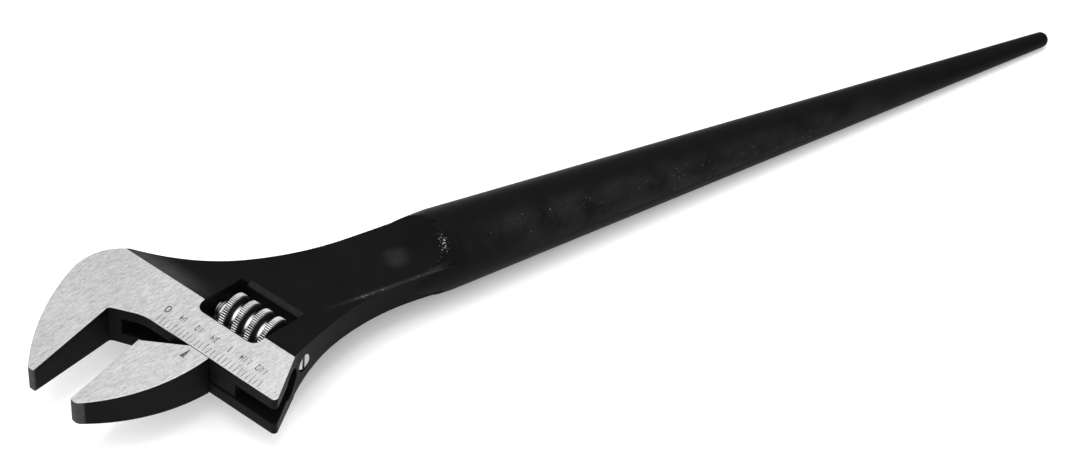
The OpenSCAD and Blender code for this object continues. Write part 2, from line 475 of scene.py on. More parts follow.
class Finish:
    """A material under construction."""

    def __init__(self, name: str) -> None:
        """Starts a material with one Principled shader.

        Args:
            name: Name of the material.
        """
        self.material = bpy.data.materials.new(name)
        self.material.use_nodes = True
        self.tree = self.material.node_tree
        self.shader = self.tree.nodes["Principled BSDF"]

    def node(self, kind: str, settings: dict | None = None, values: dict | None = None) -> bpy.types.Node:
        """Adds a node.

        Args:
            kind: The node's type.
            settings: Its own settings, which are set first.
            values: The values or links of its sockets, by name.

        Returns:
            The node.
        """
        made = self.tree.nodes.new(kind)
        for name, value in (settings or {}).items():
            setattr(made, name, value)
        for name, value in (values or {}).items():
            self.feed(made.inputs[name], value)
        return made

    def feed(self, socket: bpy.types.NodeSocket, value: object) -> None:
        """Links a wire or a socket to a socket, or sets its value."""
        if isinstance(value, Wire):
            self.tree.links.new(value.socket, socket)
        elif isinstance(value, bpy.types.NodeSocket):
            self.tree.links.new(value, socket)
        else:
            socket.default_value = value

    def out(self, made: bpy.types.Node, name: str) -> Wire:
        """One output of a node as a wire."""
        return Wire(self.tree, made.outputs[name])

    def spot(self) -> Spot:
        """The shaded point."""
        place = self.node("ShaderNodeTexCoord").outputs["Object"]
        parts = self.node("ShaderNodeSeparateXYZ", values={"Vector": place})
        return Spot(place, *(self.out(parts, axis) for axis in "XYZ"))

    def grain(self, place: bpy.types.NodeSocket, angle: float, size: Point) -> bpy.types.NodeSocket:
        """Coordinates turned about z and stretched into a grain.

        Args:
            place: Object coordinates.
            angle: Direction of the grain in the x-y plane, in degrees.
            size: Size of the pattern along and across the grain, in millimetres.

        Returns:
            The stretched coordinates.
        """
        turned = self.node("ShaderNodeMapping", values={
            "Vector": place, "Rotation": (0, 0, -math.radians(angle))})
        scaled = self.node("ShaderNodeMapping", values={
            "Vector": turned.outputs["Vector"],
            "Scale": [1 / (size[i] * MM) for i in (0, 1, 1)]})
        return scaled.outputs["Vector"]

    def noise(self, place: bpy.types.NodeSocket, scale: float, detail: float = 3.0,
              rough: float = 0.55) -> Wire:
        """Noise at a scale, from coordinates."""
        made = self.node("ShaderNodeTexNoise", values={
            "Vector": place, "Scale": scale, "Detail": detail, "Roughness": rough})
        return self.out(made, "Fac")

    def blend(self, amount: Wire | float, low: object, high: object) -> bpy.types.NodeSocket:
        """A colour between two, by an amount from nought to one."""
        made = self.node("ShaderNodeMix", {"data_type": "RGBA"})
        self.feed(made.inputs[0], amount)
        for socket, value in ((made.inputs[6], low), (made.inputs[7], high)):
            self.feed(socket, (*value, 1.0) if isinstance(value, tuple) else value)
        return made.outputs[2]

    def bump(self, height: Wire, strength: float, depth_mm: float) -> None:
        """Feeds a height to the shader's normal."""
        made = self.node("ShaderNodeBump", values={
            "Height": height, "Strength": strength, "Distance": depth_mm * MM})
        self.feed(self.shader.inputs["Normal"], made.outputs["Normal"])

    def set(self, **values: object) -> None:
        """Sets the Principled shader's sockets, with _ for a space in each name."""
        for name, value in values.items():
            self.feed(self.shader.inputs[name.replace("_", " ")], value)


@dataclass(frozen=True)
class Ramp:
    """The hollow ramp that rises from each face of the flat neck to the round handle."""

    start: float = 80.0
    run: float = 14.0
    skew: float = 12.0
    neck_half: float = 5.5
    handle_r: float = 14.0

    @property
    def arc(self) -> Arc:
        """The upper ramp's arc, seen from the side."""
        rise = self.handle_r - self.neck_half
        r = (self.run ** 2 + rise ** 2) / (2 * rise)
        return Arc(self.start, self.neck_half + r, r)


RAMP = Ramp()


# ---------------------------------------------------------------- finishes


@dataclass(frozen=True)
class GroundSteel:
    """Bare steel with the straight grain and small nicks of a surface grinder.

    Attributes:
        tone: Mean brightness.
        spread: Shares of the tone for the darkest and the lightest grain.
        nick_tone: Brightness at the bottom of a nick.
        grain_angle: Direction of the grain, in degrees.
        fine, coarse, nick: Size of each pattern along and across the grain, in millimetres.
    """

    tone: float = 0.43
    spread: Point = (0.68, 1.32)
    nick_tone: float = 0.07
    grain_angle: float = 8.0
    fine: Point = (6.0, 0.24)
    coarse: Point = (14.0, 1.1)
    nick: Point = (3.4, 0.42)
    name: str = "ground_steel"

    def build(self) -> bpy.types.Material:
        """The finished material."""
        f = Finish(self.name)
        place = f.spot().place
        fine = f.noise(f.grain(place, self.grain_angle, self.fine), 1.0, 3.0, 0.6)
        coarse = f.noise(f.grain(place, self.grain_angle + 3.0, self.coarse), 1.0, 2.0)
        cloud = f.noise(place, 70.0, 3.0)
        speckle = f.noise(place, 1300.0, 2.0, 0.6)
        marks = f.noise(f.grain(place, self.grain_angle - 3.0, self.nick), 1.0, 1.0).fade(0.69, 0.77) * 0.55
        level = fine.varied(2.3) + coarse.varied(0.35) + cloud.varied(0.3) + speckle.varied(0.8) + 0.5
        dark, light = (tuple(self.tone * (share + tint) for tint in (0.0, 0.0, cool))
                       for share, cool in zip(self.spread, (0.01, -0.01)))
        colour = f.blend(level.most(0.0).least(1.0), dark, light)
        f.set(Base_Color=f.blend(marks.least(1.0), colour, (self.nick_tone,) * 3), Metallic=1.0,
              Roughness=0.38 + fine.varied(0.3) + marks * 0.15)
        f.bump(fine * 0.7 + coarse * 0.4 - marks, 0.35, 0.02)
        return f.material


@dataclass(frozen=True)
class BlackOxide:
    """Satin black oxide on forged steel, with painted sheen and highlights in places, some wear on the
    neck's near edge, and bright specks where it has rubbed through.

    Places are in millimetres. A pair of limits is where a mask starts to show and where it is whole.

    Attributes:
        tone: Brightness of the sound oxide.
        sheen_and_wear_tone: Brightness of the painted sheen and highlights, and of the wear on the neck's
            near edge.
        steel_tone: Brightness of a rubbed speck.
        foot: Middle of the painted highlight at the ramp's foot, along and across the handle.
        flank: Middle of the painted sheen stripe on the handle, across it.
        flank_in, flank_out: Where the stripe starts and ends along the handle.
        rim_in, rim_out: Where the line of wear and painted highlight on the neck's near edge starts and
            ends.
        crown: Middle of the specks along the handle, across it.
        ledge_w, ledge_u, ledge_z: Where the painted highlight on the chamfer of the window's far edge lies.
        tip_w: Limits of the jaw tips' flat ends, which carry a painted highlight.
    """

    tone: float = 0.0042
    sheen_and_wear_tone: float = 0.05
    steel_tone: float = 0.5
    neck_half_w: float = 12.8
    foot: Point = (80.5, -2.0)
    flank: float = -9.0
    flank_in: Point = (88.0, 130.0)
    flank_out: Point = (330.0, 250.0)
    rim_in: Point = (45.0, 68.0)
    rim_out: Point = (96.0, 88.0)
    crown: float = -8.5
    ledge_w: Point = (33.35, 35.1)
    ledge_u: Point = (8.4, 30.35)
    ledge_z: Point = (4.1, 5.55)
    tip_w: Point = (-35.2, -35.9)
    name: str = "black_oxide"

    def build(self) -> bpy.types.Material:
        """The finished material."""
        f = Finish(self.name)
        at = f.spot()
        fine = f.noise(at.place, 2600.0, 3.0, 0.7)
        cloud = f.noise(at.place, 90.0, 4.0)
        scale = f.noise(at.place, 420.0, 5.0, 0.65)
        specks = self.specks(f, at)
        level = cloud.varied(0.9) + fine.varied(0.8) + 0.5
        black = f.blend(level.most(0.0).least(1.0), (self.tone * 0.6,) * 3, (self.tone * 1.7,) * 3)
        # Painted sheen and highlights lighten the black towards grey in places; on the neck's near edge the
        # same mark also stands for wear.
        sheen_and_wear = self.sheen_and_wear(at) * cloud.fade(0.15, 0.8)
        sheen_and_wear_mask = self.border_sheen(at) * (0.45 + scale * 0.9) + sheen_and_wear * (0.2 + scale * 0.5)
        colour = f.blend(sheen_and_wear_mask.least(1.0), black, (self.sheen_and_wear_tone,) * 3)
        f.set(Base_Color=f.blend(specks, colour, (self.steel_tone,) * 3),
              Metallic=specks * 0.8, Specular_IOR_Level=0.028,
              Roughness=0.44 + cloud.varied(0.2) + scale.varied(0.2))
        f.bump(scale * 0.6 + fine * 0.35 + cloud * 0.5, 0.5, 0.05)
        return f.material

    def sheen_and_wear(self, at: Spot) -> Wire:
        """How much painted sheen there is at the ramp's foot and on the handle's flank, and how much
        painted highlight and wear on the neck's near edge.
        """
        along, across = at.on_handle()
        off_x, off_y = along - self.foot[0] * MM, across - self.foot[1] * MM
        foot = (off_x * off_x + off_y * off_y).root().fade_mm(6.0, 1.0)
        flank = abs(across - self.flank * MM).fade_mm(7.0, 1.0)
        flank = flank * along.fade_mm(*self.flank_in) * along.fade_mm(*self.flank_out)
        rim = abs(across + self.neck_half_w * MM).fade_mm(1.1, 0.0) * at.z.above(RAMP.neck_half - 0.7)
        rim = rim * along.fade_mm(*self.rim_in) * along.fade_mm(*self.rim_out)
        return (foot * 1.1 + flank * 0.6 + rim * 1.6) * at.z.above(0.0)

    def border_sheen(self, at: Spot) -> Wire:
        """How much painted sheen lies beside the ground band, and how much painted highlight on the
        window's ledge and on the jaw tips' flat ends.
        """
        u, w = at.on_head()
        height = abs(at.z)
        beside = (w - THICKNESS.band * MM).fade_mm(9.0, 0.0) * w.above(THICKNESS.band - 0.8)
        beside = beside * u.fade_mm(10.0, -12.0) * height.above(6.0)
        ledge = 0.3
        for value, (low, high), soft in (
                (w, self.ledge_w, 0.1), (u, self.ledge_u, 0.05), (height, self.ledge_z, 0.15)):
            ledge = value.above(low) * value.fade_mm(high + soft, high - soft) * ledge
        return beside + ledge + w.fade_mm(*self.tip_w) * 0.9

    def specks(self, f: Finish, at: Spot) -> Wire:
        """How far each place is rubbed to bright steel.

        The specks gather along the ridge where the neck's ramp meets the round handle, along the
        handle's near side and along the edges of the neck.

        Args:
            f: The finish being built.
            at: The shaded point.

        Returns:
            The mask, from nought to three quarters.
        """
        along, across = at.on_handle()
        a, arc = math.radians(RAMP.skew), RAMP.arc
        from_start = (along - RAMP.start * MM) * math.cos(a) + across * math.sin(a)
        height = abs(at.z)
        ramp_z = arc.y * MM - ((arc.r * MM) ** 2 - from_start * from_start).most(0.0).root()
        off_ramp = abs(height - ramp_z)
        off_round = abs((across * across + at.z * at.z).root() - RAMP.handle_r * MM)
        ridge = (off_ramp + off_round).fade_mm(2.8, 0.2) * across.fade_mm(12.0, 1.0)
        ridge = ridge * along.above(RAMP.start + 2.0)
        crown = abs(across - self.crown * MM).fade_mm(5.0, 0.0) * at.z.above(0.0)
        crown = crown * along.above(RAMP.start + 13.0)
        off_edge = abs(abs(across) - self.neck_half_w * MM) + abs(height - RAMP.neck_half * MM)
        neck = off_edge.fade_mm(1.6, 0.0) * along.above(60.0) * along.fade_mm(80.0, 70.0)
        fleck = f.noise(at.place, 1700.0, 2.0, 0.6)
        wide = f.noise(at.place, 110.0, 2.0)
        gate = ridge * 0.14 + crown * 0.10 + neck * 0.18
        return (fleck + gate + wide.varied(0.3) * (gate * 8.0).least(1.0)).fade(0.80, 0.88) * 0.75


@dataclass(frozen=True)
class BrightSteel:
    """Polished bare steel of the worm, the pin's end and the spring.

    Where knurls are counted, painted shade darkens the knurl's grooves and the thread's flanks.
    """

    tone: float = 0.92
    roughness: float = 0.27
    knurls: int = 0
    shade_tone: float = 0.02
    name: str = "bright_steel"

    def build(self) -> bpy.types.Material:
        """The finished material."""
        f = Finish(self.name)
        at = f.spot()
        rub = f.noise(at.place, 900.0, 3.0)
        stain = f.noise(at.place, 260.0, 3.0)
        colour = f.blend(stain.fade(0.35, 0.7), (self.tone * 0.7,) * 3, (self.tone,) * 3)
        rough = self.roughness + rub.varied(0.2)
        if self.knurls:
            # Painted shade: the knurl's grooves and the thread's flanks are darkened in the colour and made
            # rougher.
            painted_shade = self.painted_shade(at)
            colour = f.blend(painted_shade, colour, (self.shade_tone,) * 3)
            rough = rough + painted_shade * 0.3
        f.set(Base_Color=colour, Metallic=1.0, Roughness=rough)
        f.bump(rub, 0.2, 0.01)
        return f.material

    def painted_shade(self, at: Spot) -> Wire:
        """How much painted shade darkens the knurl's grooves and the thread's flanks."""
        _, depth = at.on_head(THREAD.depth)
        wave = (at.z.angle(depth) * float(self.knurls)).cosine()
        radius = (depth * depth + at.z * at.z).root()
        crest, root = THREAD.crest_r, THREAD.core_r
        pressed = (0.5 - wave * 0.5).fade(0.3, 0.7) * radius.above(crest - 0.38)
        flank = radius.fade_mm(root + 0.1, root + 0.9) * radius.fade_mm(crest - 0.4, crest - 0.7)
        return (pressed * 0.92).most(flank * 0.97)


@dataclass(frozen=True)
class EngravedFill:
    """Dark oxide left in the engraved marks, a little uneven."""

    tone: float = 0.05
    name: str = "engraved_fill"

    def build(self) -> bpy.types.Material:
        """The finished material."""
        f = Finish(self.name)
        patch = f.noise(f.spot().place, 900.0, 2.0)
        f.set(Base_Color=f.blend(patch.fade(0.4, 0.7), (self.tone,) * 3, (self.tone * 3.2,) * 3),
              Roughness=0.6, Specular_IOR_Level=0.2)
        return f.material


# ---------------------------------------------------------------- the head's shared shapes


@dataclass(frozen=True)
class Thickness:
    """How thick the head is behind the jaw tips: ground planes, then a hollow to the flat neck."""

    half_at_slideway: float = 8.03
    taper: float = 0.086
    band: float = 16.3
    neck_half: float = 5.5
    hollow_end: float = 40.0
    hollow_r: float = 73.4
    front: float = -45.0
    far: float = 110.0

    def ground(self, w: float) -> float:
        """Half thickness of the ground planes at a depth w."""
        return self.half_at_slideway + self.taper * w

    def hollow(self, w: float) -> float:
        """Half thickness of the hollow at a depth w."""
        away = self.hollow_end - w
        return self.neck_half + self.hollow_r - math.sqrt(self.hollow_r ** 2 - away ** 2)

    def profile(self, behind: bool = True) -> list[Point]:
        """The section in (w, z), anticlockwise, with or without what lies behind the ground band."""
        upper = [(self.front, self.ground(self.front)), (self.band, self.ground(self.band))]
        if behind:
            n = 12
            run = self.hollow_end - self.band
            steps = [self.band + run * i / n for i in range(1, n + 1)]
            upper += [(w, self.hollow(w)) for w in steps]
            upper.append((self.far, self.neck_half))
        return [(w, -z) for w, z in upper] + upper[::-1]


THICKNESS = Thickness()


def grind(piece: bpy.types.Object, far_w: float) -> None:
    """Gives the second material to the ground faces and to the softened edges round them.

    Args:
        piece: The object, on head coordinates.
        far_w: Largest depth w of a ground face's middle, in millimetres.
    """
    up = Vector((0.0, -THICKNESS.taper, 1.0)).normalized()
    for face in piece.data.polygons:
        facing = Vector((face.normal.x, face.normal.y, abs(face.normal.z))).dot(up)
        w = face.center.y / MM
        off = abs(THICKNESS.ground(w) - abs(face.center.z / MM))
        flat = facing > 0.9998 and off < 0.02
        edge = facing > 0.35 and off < 0.28
        if (flat or edge) and w < far_w:
            face.material_index = 1


# ---------------------------------------------------------------- the forging


@dataclass(frozen=True)
class Forging:
    """The body: fixed jaw, slotted head, flat neck and round tapered handle."""

    jaw_reach: float = 36.2
    slideway_end: float = 49.6
    slot_gap: float = 6.6
    slot_from: float = -11.3
    channel_r: float = 4.95
    channel_from: float = -21.1
    rack_depth: float = 13.4
    worm_depth: float = 23.0
    pin_r: float = 2.3
    window_u: Point = (6.0, 30.4)
    window_w: Point = (12.1, 33.2)
    window_corner: float = 3.0
    neck_half_w: float = 12.8
    stem_from: float = 76.0
    shoulder_x: float = 98.0
    handle_r: float = 14.0
    handle_end: float = 365.5
    tip_r: float = 3.0
    tip_width: float = 2.4
    end_round: float = 1.3
    far_corner: float = 0.8
    neck_top: Point = (69.0, 105.0)
    neck_under: Point = (80.0, 83.2)
    jaw_back: Arc = Arc(36.4, 12.2, 72.3)
    shoulder: Arc = Arc(-18.3, 2.5, 16.7)
    sides: int = 128

    def outline(self) -> list[Point]:
        """The head and neck seen from above, anticlockwise, in head coordinates.

        neck_top and neck_under give, for each hollow edge of the neck, the middle along the handle
        and the radius.
        """
        (top_x, top_r), (under_x, under_r) = self.neck_top, self.neck_under
        top_arc = Arc(*HEAD.from_handle(top_x, self.neck_half_w + top_r), top_r)
        under_arc = Arc(*HEAD.from_handle(under_x, -self.neck_half_w - under_r), under_r)
        end = self.shoulder_x - 2.0
        face = HEAD.face_u
        jaw = [(face - self.tip_width, -self.jaw_reach), (face, -self.jaw_reach), (face, -4.9),
               (face + 0.35, -4.35), (face + 0.9, -3.95), (-6.4, -0.8), (-4.2, -0.28), (-2.0, 0.0)]
        meets_under = under_arc.angle_of(42.0, 17.5)
        under_end = under_arc.angle_of(*HEAD.from_handle(under_x, -self.neck_half_w))
        lower = under_arc.points(meets_under, under_end - 360.0 if under_end > meets_under else under_end)
        upper_start = top_arc.angle_of(*HEAD.from_handle(top_x, self.neck_half_w))
        toward = top_arc.angle_of(self.shoulder.x, self.shoulder.y)
        upper = top_arc.points(upper_start, toward)
        shoulder_end = self.shoulder.angle_of(self.jaw_back.x, self.jaw_back.y) + 180.0
        shoulder_start = self.shoulder.angle_of(top_arc.x, top_arc.y)
        round_end = self.shoulder.points(shoulder_start, shoulder_end)
        back_start = self.jaw_back.angle_of(*round_end[-1]) % 360.0
        back_end = self.jaw_back.angle_of(*jaw[0]) % 360.0
        back = self.jaw_back.points(back_start, back_end)
        corner = Arc(self.slideway_end - 1.96, self.end_round, self.end_round).points(-90.0, 23.0, 0.4)
        return (jaw + corner + lower + [HEAD.from_handle(end, -self.neck_half_w)]
                + [HEAD.from_handle(end, self.neck_half_w)] + upper + round_end[1:] + back[1:-1])

    def window(self) -> bpy.types.Object:
        """The cutter for the worm's window, with two large corners near the band and two small ones."""
        (u0, u1), (w0, w1), near, far = self.window_u, self.window_w, self.window_corner, self.far_corner
        outline = []
        for turn, (u, w, r, step) in enumerate((
                (u0 + near, w0 + near, near, 0.5), (u1 - near, w0 + near, near, 0.5),
                (u1 - far, w1 - far, far, 0.3), (u0 + far, w1 - far, far, 0.3))):
            outline += Arc(u, w, r).points(180.0 + 90.0 * turn, 270.0 + 90.0 * turn, step)
        return Bench.slab("window_cutter", outline, -14.0, 14.0)

    def window_chamfer(self, side: int) -> bpy.types.Object:
        """The cutter for the chamfer along the window's far edge.

        Args:
            side: 1 for the upper face, -1 for the lower one.

        Returns:
            The cutter in head coordinates.
        """
        (u0, u1), far = self.window_u, self.window_w[1]
        top = THICKNESS.hollow(far + 1.0)
        wedge = [(far - 0.2, top - 1.5), (far + 0.1, top - 1.5), (far + 1.8, top + 0.05),
                 (far + 2.2, top + 2.0), (far - 0.2, top + 2.0)]
        outline = [(w, side * z) for w, z in wedge][::side]
        return Bench.prism_u("chamfer_cutter", outline, u0 + 2.4, u1 - 0.02)

    def head(self) -> bpy.types.Object:
        """The head and neck in head coordinates, before the openings are cut."""
        head = Bench.slab("body_forging_detail", self.outline(), -14.0, 14.0)
        Bench.combine(head, Bench.prism_u("thickness", THICKNESS.profile(), -60.0, 70.0), How.MEET)
        return head

    def openings(self, head: bpy.types.Object) -> None:
        """Cuts the window and its chamfers, the slot, the rack channel and the pin's seats."""
        beyond = self.slideway_end + 6.0
        half = self.slot_gap / 2
        Bench.combine(head, self.window(), How.CUT)
        for side in (1, -1):
            Bench.combine(head, self.window_chamfer(side), How.CUT)
        front, back = -8.0, self.rack_depth
        slot = [(self.slot_from, front), (beyond, front), (beyond, back), (self.slot_from, back)]
        Bench.combine(head, Bench.slab("slot_cutter", slot, -half, half), How.CUT)
        for name, r, start, end, w in (
                ("channel_cutter", self.channel_r, self.channel_from, beyond, self.rack_depth),
                ("pin_seat", self.pin_r + 0.02, 0.0, self.window_u[0] + 1.0, self.worm_depth),
                ("pin_thread", self.pin_r + 0.72, self.window_u[1] - 1.0, 46.0, self.worm_depth)):
            Bench.combine(head, Bench.rod_u(name, r, start, end, w), How.CUT)

    def handle(self) -> bpy.types.Object:
        """The round handle in head coordinates, hollowed down towards the neck on both faces."""
        stem_from, stem_r = self.stem_from, self.neck_half_w - 0.4
        run = self.shoulder_x - stem_from
        swell = [(stem_from + run * t, stem_r + (self.handle_r - stem_r) * math.sin(math.pi / 2 * t))
                 for t in (i / 12 for i in range(13))]
        taper_end = self.handle_end - self.tip_r
        taper = [(self.shoulder_x + (taper_end - self.shoulder_x) * i / 10,
                  self.handle_r + (self.tip_r - self.handle_r) * i / 10) for i in range(1, 11)]
        tip = Arc(taper_end, 0.0, self.tip_r).points(75.0, 8.0, 0.35)
        handle = Bench.lathe("handle", swell + taper + tip, self.sides)
        for side in (1, -1):
            Bench.combine(handle, self.ramp_cutter(side), How.CUT)
        return Bench.settle(handle, HEAD.matrix().inverted() @ HEAD.handle_matrix())

    def ramp_cutter(self, side: int) -> bpy.types.Object:
        """What is cut from one face of the stem to make the ramp.

        Args:
            side: 1 for the upper face, -1 for the lower one.

        Returns:
            The cutter in handle coordinates.
        """
        low = THICKNESS.neck_half - 0.03
        curve = RAMP.arc.points(-90.0, 0.0, 0.5)[1:]
        line = [(self.stem_from - 6.0, low), (RAMP.start - 0.4, low)] + curve
        line += [(curve[-1][0], 24.0), (self.stem_from - 6.0, 24.0)]
        outline = [(x, side * z) for x, z in line][::side]
        block = Bench.slab("ramp_cutter", outline, -28.0, 28.0)
        pivot = Matrix.Translation((RAMP.start * MM, 0, 0))
        skew = pivot @ Matrix.Rotation(math.radians(RAMP.skew), 4, "Z") @ pivot.inverted()
        return Bench.settle(block, skew @ Matrix.Rotation(math.pi / 2, 4, "X"))

    def build(self, black: bpy.types.Material, ground: bpy.types.Material) -> bpy.types.Object:
        """Builds and dresses the forging.

        Args:
            black: Finish of the forged surfaces.
            ground: Finish of the ground faces.

        Returns:
            The finished piece.
        """
        body = self.head()
        Bench.combine(body, self.handle(), How.JOIN)
        self.openings(body)
        Bench.tidy(body)
        Bench.soften(body, 0.3)
        Bench.dress(body, black, ground)
        grind(body, THICKNESS.band + 0.3)
        Bench.settle(body, HEAD.matrix())
        return Bench.finish(body, Rides.BODY, "black_forging", "body_forging")


# ---------------------------------------------------------------- the thread


@dataclass(frozen=True)
class Thread:
    """The worm's single right-hand thread, and the teeth that it cuts in the rack."""

    lead: float = 5.2
    crest_u: float = 11.7
    crest_half: float = 1.0
    flank: float = 0.75
    crest_r: float = 8.1
    core_r: float = 4.6
    depth: float = 23.0

    def sweep(self, name: str, section: Sequence[Point], turns: float, steps: int,
              start_turn: float) -> bpy.types.Object:
        """Winds a section round the worm's axis.

        Args:
            name: Name of the object.
            section: Points of the section as distance along the axis and radius, in millimetres.
            turns: Number of turns.
            steps: Faces in each turn.
            start_turn: Turn at which the winding starts, nought facing straight up.

        Returns:
            The wound surface, in head coordinates.
        """
        Bench.deselect()
        bpy.ops.mesh.primitive_circle_add(vertices=len(section), radius=MM, fill_type="NOTHING")
        piece = bpy.context.object
        piece.name = name
        shift = self.crest_u + self.lead * start_turn
        for vertex, (along, r) in zip(piece.data.vertices, section):
            vertex.co = ((along + shift) * MM, 0.0, r * MM)
        wind = piece.modifiers.new("wind", "SCREW")
        wind.axis, wind.screw_offset = "X", self.lead * turns * MM
        wind.angle = 2 * math.pi * turns
        wind.steps = wind.render_steps = round(steps * turns)
        wind.use_merge_vertices = False
        bpy.ops.object.modifier_apply(modifier=wind.name)
        return Bench.settle(piece, Matrix.Translation((0, self.depth * MM, 0)))

    def ridge(self, grow: float) -> list[Point]:
        """The ridge's section, widened all round by grow."""
        foot = self.crest_half + self.flank + grow
        top = self.crest_half + grow
        return [(-foot, self.core_r - 0.4 + grow), (-top, self.crest_r + grow),
                (top, self.crest_r + grow), (foot, self.core_r - 0.4 + grow)]


THREAD = Thread()


@dataclass(frozen=True)
class Worm:
    """The knurled worm that the user turns with a thumb."""

    start_u: float = 9.0
    length: float = 19.5
    bore_r: float = 2.35
    knurls: int = 64
    knurl_depth: float = 0.26

    def build(self, bright: bpy.types.Material) -> bpy.types.Object:
        """Builds and dresses the worm.

        Args:
            bright: Its finish.

        Returns:
            The finished piece.
        """
        t = THREAD
        soft = 0.14
        half = t.lead / 2
        top, foot = t.crest_half, t.crest_half + t.flank
        line = [(-half, t.core_r), (-foot - 0.35, t.core_r), (-foot, t.core_r + 0.18),
                (-top - 0.05, t.crest_r - soft - 0.1), (-top + soft, t.crest_r), (-top / 3, t.crest_r),
                (top / 3, t.crest_r), (top - soft, t.crest_r), (top + 0.05, t.crest_r - soft - 0.1),
                (foot, t.core_r + 0.18), (foot + 0.35, t.core_r), (half, t.core_r)]
        worm = self.wind(line)
        self.trim(worm)
        self.knurl(worm)
        Bench.smooth(worm, 38.0)
        Bench.dress(worm, bright)
        Bench.settle(worm, HEAD.matrix())
        return Bench.finish(worm, Rides.WORM, "bright_worm", "worm")

    def wind(self, line: Sequence[Point]) -> bpy.types.Object:
        """Winds one lead of the worm's outline into the whole thread, open at both ends."""
        piece = THREAD.sweep("worm_detail", line, 6.0, self.knurls * 4, -2.0)
        Bench.pick(piece)
        Bench.edit("DESELECT")
        bpy.ops.object.mode_set(mode="OBJECT")
        reach = THREAD.lead * MM * 0.9
        for face in piece.data.polygons:
            spread = [piece.data.vertices[i].co.x for i in face.vertices]
            face.select = max(spread) - min(spread) > reach
        bpy.ops.object.mode_set(mode="EDIT")
        bpy.ops.mesh.delete(type="FACE")
        bpy.ops.mesh.select_all(action="SELECT")
        bpy.ops.mesh.remove_doubles(threshold=0.004 * MM)
        bpy.ops.mesh.normals_make_consistent(inside=False)
        bpy.ops.object.mode_set(mode="OBJECT")
        return piece

    def trim(self, worm: bpy.types.Object) -> None:
        """Cuts both ends square, closes them and opens the bore."""
        Bench.pick(worm)
        for u, keep_outer in ((self.start_u, False), (self.start_u + self.length, True)):
            Bench.edit()
            bpy.ops.mesh.bisect(plane_co=(u * MM, 0, 0), plane_no=(1, 0, 0), use_fill=True,
                                clear_inner=not keep_outer, clear_outer=keep_outer)
            Bench.outward()
        bore = Bench.rod_u("bore_cutter", self.bore_r, self.start_u - 1.0, self.start_u + self.length + 1.0,
                           THREAD.depth)
        Bench.combine(worm, bore, How.CUT)

    def knurl(self, worm: bpy.types.Object) -> None:
        """Presses fine straight grooves across the crest of the thread."""
        floor = THREAD.crest_r - 0.4
        for vertex in worm.data.vertices:
            y, z = vertex.co.y / MM - THREAD.depth, vertex.co.z / MM
            r = math.hypot(y, z)
            if r > floor:
                wave = 0.5 - 0.5 * math.cos(self.knurls * math.atan2(z, y))
                pressed = (r - self.knurl_depth * wave) / r
                vertex.co.y = (THREAD.depth + y * pressed) * MM
                vertex.co.z = z * pressed * MM


# ---------------------------------------------------------------- the sliding jaw


@dataclass(frozen=True)
class SlidingJaw:
    """The jaw that the worm moves: block, web and round toothed rack."""

    opening: float = 16.2
    reach: float = 37.0
    gap: float = 0.1
    slot_gap: float = 6.6
    rack_r: float = 4.8
    rack_depth: float = 13.4
    rack_run: Point = (-5.2, 31.8)
    web_from: float = 4.8
    mesh_gap: float = 0.25

    @property
    def face(self) -> float:
        """Where the gripping face is, along u."""
        return HEAD.face_u + self.opening

    def outline(self) -> list[Point]:
        """The block seen from above, anticlockwise."""
        back = Arc(self.face - 39.2, 7.5, 61.1)
        heel = [(0.0, -7.9), (0.35, -7.86), (0.9, -7.7), (12.4, -0.9), (13.6, -self.gap)]
        tip_corner = (self.face + 1.9, -self.reach - 0.15)
        start = back.angle_of(self.face + 2.9, -self.reach + 0.25)
        end = math.degrees(math.asin((-self.gap - back.y) / back.r))
        return ([(self.face, -self.reach), tip_corner] + back.points(start, end)
                + [(self.face + x, w) for x, w in heel[::-1]])

    def build(self, black: bpy.types.Material, ground: bpy.types.Material) -> bpy.types.Object:
        """Builds and dresses the jaw.

        Args:
            black: Finish of its edges, web and rack.
            ground: Finish of its two ground faces.

        Returns:
            The finished piece.
        """
        face, half = self.face, self.slot_gap / 2 - self.gap
        jaw = Bench.slab("sliding_jaw_detail", self.outline(), -14.0, 14.0)
        Bench.combine(jaw, Bench.prism_u("thickness", THICKNESS.profile(False), -60.0, 70.0), How.MEET)
        web = [(face + self.web_from, -6.0), (face + 12.6, -2.0), (face + 18.0, -2.0), (face + 19.3, 0.5),
               (face + self.rack_run[1] - 0.3, 0.5), (face + self.rack_run[1] - 0.3, self.rack_depth),
               (face + self.web_from, self.rack_depth)]
        Bench.combine(jaw, Bench.slab("web", web, -half, half), How.JOIN)
        start, end = face + self.rack_run[0], face + self.rack_run[1]
        rack = Bench.rod_u("rack", self.rack_r, start, end, self.rack_depth, 72)
        Bench.combine(jaw, rack, How.JOIN)
        first = math.floor((start - THREAD.crest_u) / THREAD.lead) - 1
        last = math.ceil((end - THREAD.crest_u) / THREAD.lead) + 1
        tooth = THREAD.sweep("tooth_cutter", THREAD.ridge(self.mesh_gap), last - first, 60, first)
        Bench.close(tooth)
        Bench.combine(jaw, tooth, How.CUT)
        Bench.tidy(jaw)
        Bench.soften(jaw, 0.2)
        Bench.dress(jaw, black, ground)
        grind(jaw, 0.5)
        Bench.settle(jaw, HEAD.matrix())
        return Bench.finish(jaw, Rides.JAW, "ground_jaw", "sliding_jaw")


# ---------------------------------------------------------------- pin and spring


